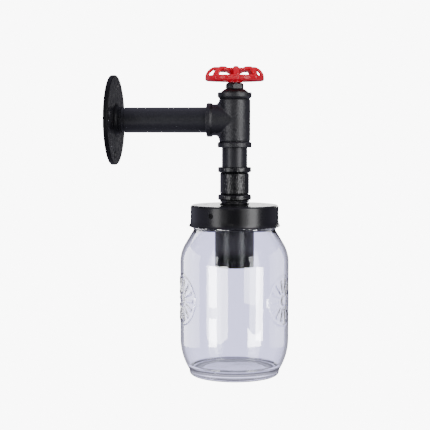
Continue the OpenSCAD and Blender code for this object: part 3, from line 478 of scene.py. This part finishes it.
def coat(thing, nodeName):
    thing.data.materials.clear()
    thing.data.materials.append(paints[finishOf.get(nodeName, slotOf[nodeName])])


for nodeName, nodeObject in frame["nodes"].items():
    coat(nodeObject, nodeName)
print("paints ready")


# Ways of making a piece

def bodyOf(nodeName):
    return frame["nodes"][nodeName]["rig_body"]


def axisOf(nodeName):
    low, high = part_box(nodeName)
    return (low + high) / 2


def softenShading(mesh, degrees):
    mesh.shade_smooth()
    mesh.set_sharp_from_angle(angle=math.radians(degrees))


def placePiece(name, mesh, *nodes, sharp):
    piece = bpy.data.objects.new(name, mesh)
    bpy.context.scene.collection.objects.link(piece)
    softenShading(mesh, sharp)
    coat(piece, nodes[0])
    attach(piece, bodyOf(nodes[0]))
    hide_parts(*nodes)
    return piece


def turnedMesh(name, outline, sides, shape):
    # revolves a closed list of (radius, height) in mm about Z; shape(angle, r, z, index) gives the
    # radius there, and a radius of 0 is a point
    mesh = bmesh.new()
    rings = []
    for index, (r, z) in enumerate(outline):
        if r == 0:
            rings.append([mesh.verts.new((0, 0, z * mm))])
            continue
        ring = []
        for side in range(sides):
            angle = 2 * math.pi * side / sides
            reach = shape(angle, r, z, index) * mm
            ring.append(mesh.verts.new((reach * math.cos(angle), reach * math.sin(angle), z * mm)))
        rings.append(ring)
    for lower, upper in zip(rings, rings[1:] + rings[:1]):
        for side in range(sides):
            after = (side + 1) % sides
            corners = [lower[side % len(lower)], lower[after % len(lower)],
                       upper[after % len(upper)], upper[side % len(upper)]]
            corners = [corner for i, corner in enumerate(corners) if corner not in corners[:i]]
            if len(corners) > 2:
                mesh.faces.new(corners)
    bmesh.ops.recalc_face_normals(mesh, faces=mesh.faces)
    made = bpy.data.meshes.new(name)
    mesh.to_mesh(made)
    mesh.free()
    return made


def arcOf(x, z, r, start, end, steps):  # angles in degrees
    turns = [math.radians(start + (end - start) * i / steps) for i in range(steps + 1)]
    return [(x + r * math.cos(turn), z + r * math.sin(turn)) for turn in turns]


# Castings

castings = {  # sizes in mm, and the sand's grainScale in waves per metre
    "handwheel": {"voxel": 0.34, "passes": 3, "grainHeight": 0.02, "grainScale": 120, "swell": 0.45},
    "tee": {
        "voxel": 0.4, "passes": 1, "grainHeight": 0.06, "grainScale": 420, "creases": (6.1, 47.9),
    },
    "coupling": {
        "voxel": 0.36, "passes": 1, "grainHeight": 0.2, "grainScale": 780, "creases": (5.9, 26.5),
    },
    "bonnet": {"voxel": 0.3, "passes": 2, "grainHeight": 0.04, "grainScale": 500},
    "gland_nut": {"voxel": 0.25, "passes": 2, "grainHeight": 0.02, "grainScale": 500},
    "hex_bushing": {"voxel": 0.3, "passes": 1, "grainHeight": 0.03, "grainScale": 500},
}
castSkin = {"smoothing": 0.5, "sharp": 60}
sand = {"falloff": 1.0, "step": 2.0, "octaves": 3}  # of its fractal noise
creaseForm = {"depth": 0.8, "reach": 0.65, "floor": 13.4}  # floor: the pipe's wall stays as it is


def castMesh(nodeName, settings):  # a remeshed copy whose inner corners run into fillets
    source = frame["nodes"][nodeName]
    copy = bpy.data.objects.new("castCopy", source.data.copy())
    bpy.context.scene.collection.objects.link(copy)
    remesh = copy.modifiers.new("skin", "REMESH")
    remesh.mode = "VOXEL"
    remesh.voxel_size = settings["voxel"] * mm
    smooth = copy.modifiers.new("fillets", "SMOOTH")
    smooth.iterations = settings["passes"]
    smooth.factor = castSkin["smoothing"]
    graph = bpy.context.evaluated_depsgraph_get()
    mesh = bpy.data.meshes.new_from_object(copy.evaluated_get(graph))
    bpy.data.objects.remove(copy)
    return mesh


# Fattens a casting along its normals, inside the CAD's box, because the smoothing and the bright
# backdrop both take from its edges
def swellMesh(mesh, nodeName, distance):
    low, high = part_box(nodeName)
    normals = [vertex.normal.copy() for vertex in mesh.vertices]
    for vertex, normal in zip(mesh.vertices, normals):
        vertex.co += normal * (distance * mm)
        vertex.co = [min(max(vertex.co[i], low[i]), high[i]) for i in range(3)]


def roughen(mesh, height, scale):  # pushes the skin in and out along its normals
    normals = [vertex.normal.copy() for vertex in mesh.vertices]
    for vertex, normal in zip(mesh.vertices, normals):
        wave = noise.fractal(vertex.co * scale, sand["falloff"], sand["step"], sand["octaves"])
        vertex.co += normal * (wave * height * mm)


def cutCrease(mesh, nodeName, height):  # a line round a fitting on the drop, beside its bead
    axis = axisOf("drop_nipple")
    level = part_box(nodeName)[0].z + height * mm
    for vertex in mesh.vertices:
        off = abs(vertex.co.z - level) / (creaseForm["reach"] * mm)
        out = vertex.co - axis
        out.z = 0
        if off < 1 and out.length > creaseForm["floor"] * mm:
            vertex.co -= out.normalized() * (creaseForm["depth"] * mm * (1 - off * off))


def makeCasting(nodeName, settings):
    mesh = castMesh(nodeName, settings)
    if "swell" in settings:
        swellMesh(mesh, nodeName, settings["swell"])
    roughen(mesh, settings["grainHeight"], settings["grainScale"])
    for height in settings.get("creases", ()):
        cutCrease(mesh, nodeName, height)
    placePiece(nodeName + "_casting", mesh, nodeName, sharp=castSkin["sharp"])


for castName, castSettings in castings.items():
    makeCasting(castName, castSettings)
print("castings ready")


# Wall flange, whose rim, back and hub foot take a darker, duller paint than its face: painted shade

flangeForm = {
    "faceAt": 4.7,  # mm from the wall
    "rimR": 43.7,
    "footR": 18.6,
    "footTilt": 0.05,  # least share of a foot's normal that points along the arm
    "backTilt": -0.5,  # the back's normals point to the wall
    "sharp": 30,
}


def makeFlange(settings):
    mesh = frame["nodes"]["wall_flange"].data.copy()
    piece = placePiece("flange_casting", mesh, "wall_flange", sharp=settings["sharp"])
    mesh.materials.append(paints["deep_black_and_painted_shade"])
    for face in mesh.polygons:
        out = math.hypot(face.center.y, face.center.z) / mm
        proud = face.center.x / mm > settings["faceAt"]
        rim = out > settings["rimR"] and not proud
        foot = out < settings["footR"] and proud and abs(face.normal.x) > settings["footTilt"]
        back = face.normal.x < settings["backTilt"]
        # the rim, hub foot and back take the darker paint as painted shade
        face.material_index = 1 if rim or foot or back else 0
    flangeOnly.objects.link(piece)


makeFlange(flangeForm)
print("flange ready")


# Jar, in mm from its foot, with a raised pattern of rays on two sides

jarForm = {
    "neck": 38.6,
    "neckHeight": 18,
    "wall": 2.6,
    "lipR": 1.2,
    "beadR": 2.6,
    "beadOut": 3.4,
    "beadEnd": -60,
    "topOut": 0.62,  # where the bead runs into the shoulder, in shares of its radius
    "topDown": 1.3,
    "shoulderDrop": 56,
    "shoulderR": 36,
    "waistR": 60,
    "waistHeight": 37,
    "heelHeight": 7.5,
    "heelR": 3.6,
    "heelStep": 0.7,
    "punt": 2.4,
    "puntSteps": ((2, 0.125), (6, 0.8), (12, 1)),  # way in from the foot, share of the punt
    "floor": 7.5,
    "floorR": 5.5,
    "floorSteps": ((0.6, 0.5), (0, 1.2)),  # share of the way out, rise
    "sides": 360,
    "steps": {
        "lip": 6, "bead": 14, "shoulder": 28, "waist": 24, "heel": 8, "innerWaist": 20, "floor": 8,
    },
    "sharp": 50,
}
jarRelief = {
    "faces": (205, 338),  # degrees about the jar, from +X
    "centre": 78,  # height over the foot
    "reach": 28,
    "rays": 14,
    "rayStart": 8,
    "rayEnd": 21,
    "ringR": 24,
    "ringWidth": 1.4,
    "hubR": 4,
    "hubEdge": 1.6,
    "rise": 0.75,
    "bodyR": 44,  # the jar's foot and neck are narrower and stay plain
}


def reliefHeight(angle, z, radius, settings):
    rise = 0
    for face in settings["faces"]:
        across = (math.degrees(angle) - face + 180) % 360 - 180
        u = math.radians(across) * radius
        v = z - settings["centre"]
        reach = math.hypot(u, v)
        if reach > settings["reach"]:
            continue
        ray = max(0, math.cos(settings["rays"] * math.atan2(v, u)))
        inRays = settings["rayStart"] < reach < settings["rayEnd"]
        ring = max(0, 1 - abs(reach - settings["ringR"]) / settings["ringWidth"])
        hub = max(0, 1 - max(0, reach - settings["hubR"]) / settings["hubEdge"])
        rise = max(rise, ring, hub, ray if inRays else 0)
    return rise * settings["rise"]


def jarOutline(form, tall, widest):  # outside from the mouth down, inside likewise
    steps = form["steps"]
    neck = form["neck"]
    wall = form["wall"]
    lipR = form["lipR"]
    beadZ = tall - form["neckHeight"] - form["beadR"]
    beadX = neck + form["beadOut"] - form["beadR"]
    beadStart = math.degrees(math.acos((neck - beadX) / form["beadR"]))
    topX = beadX + form["beadR"] * form["topOut"]
    topZ = beadZ - form["beadR"] * form["topDown"]
    shoulderX = widest - form["shoulderR"]
    shoulderZ = tall - form["shoulderDrop"]
    apart = math.hypot(topX - shoulderX, topZ - shoulderZ)
    # The straight flank touches the shoulder's arc at this slope
    slope = math.atan2(topZ - shoulderZ, topX - shoulderX) - math.acos(form["shoulderR"] / apart)
    lean = math.degrees(slope)
    waistX = widest - form["waistR"]
    waistZ = form["waistHeight"]
    waistTurn = math.asin((waistZ - form["heelHeight"]) / form["waistR"])
    heelTop = waistX + form["waistR"] * math.cos(waistTurn) - form["heelStep"]
    footR = heelTop - form["heelStep"] - form["heelR"]
    sideSteps = int(shoulderZ - waistZ)
    sideHeights = [
        shoulderZ - (shoulderZ - waistZ) * i / sideSteps for i in range(1, sideSteps)]
    outside = [
        *arcOf(neck - lipR, tall - lipR, lipR, 90, 0, steps["lip"]),
        *arcOf(beadX, beadZ, form["beadR"], beadStart, form["beadEnd"], steps["bead"]),
        (topX, topZ),
        *arcOf(shoulderX, shoulderZ, form["shoulderR"], lean, 0, steps["shoulder"]),
        *[(widest, z) for z in sideHeights],
        *arcOf(waistX, waistZ, form["waistR"], 0, -math.degrees(waistTurn), steps["waist"]),
        (heelTop, form["heelHeight"] - form["heelStep"]),
        *arcOf(footR, form["heelR"], form["heelR"], 0, -90, steps["heel"]),
        *[(footR - inwards, form["punt"] * share) for inwards, share in form["puntSteps"]],
        (0, form["punt"]),
    ]
    bend = form["waistR"] - wall
    floorZ = form["floor"] + form["floorR"]
    floorTurn = math.asin((waistZ - floorZ) / bend)
    floorX = waistX + bend * math.cos(floorTurn) - form["floorR"]
    floorStart = -math.degrees(floorTurn)
    inside = [
        *arcOf(neck - wall + lipR, tall - lipR, lipR, 90, 180, steps["lip"]),
        (neck - wall, beadZ),
        (topX - wall * math.cos(slope), topZ - wall * math.sin(slope)),
        *arcOf(shoulderX, shoulderZ, form["shoulderR"] - wall, lean, 0, steps["shoulder"]),
        *arcOf(waistX, waistZ, bend, 0, floorStart, steps["innerWaist"]),
        *arcOf(floorX, floorZ, form["floorR"], floorStart / 2, -90, steps["floor"]),
        *[(floorX * share, form["floor"] + rise) for share, rise in form["floorSteps"]],
    ]
    return outside, inside


def makeJar(form, relief):
    low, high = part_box("jar")
    tall = (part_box("jar_neck")[1].z - low.z) / mm
    widest = (high.y - low.y) / 2 / mm
    outside, inside = jarOutline(form, tall, widest)

    def shape(angle, r, z, index):  # raises the pattern on the outside, within the CAD's box
        if index >= len(outside) or r < relief["bodyR"]:
            return r
        boxEdge = widest / max(abs(math.cos(angle)), abs(math.sin(angle)))
        return min(r + reliefHeight(angle, z, widest, relief), boxEdge)

    mesh = turnedMesh("jarMesh", outside + inside[::-1], form["sides"], shape)
    mesh.transform(Matrix.Translation((axisOf("jar").x, axisOf("jar").y, low.z)))
    glass = placePiece("jar_glass", mesh, "jar", "jar_neck", sharp=form["sharp"])
    glassOnly.objects.link(glass)
    notGlass.objects.link(glass)
    notGlass.collection_objects[0].light_linking.link_state = "EXCLUDE"


makeJar(jarForm, jarRelief)
print("jar ready")


# Smooth shading of the CAD's own pieces

nodeSharp = 32
for nodeObject in frame["nodes"].values():
    softenShading(nodeObject.data, nodeSharp)
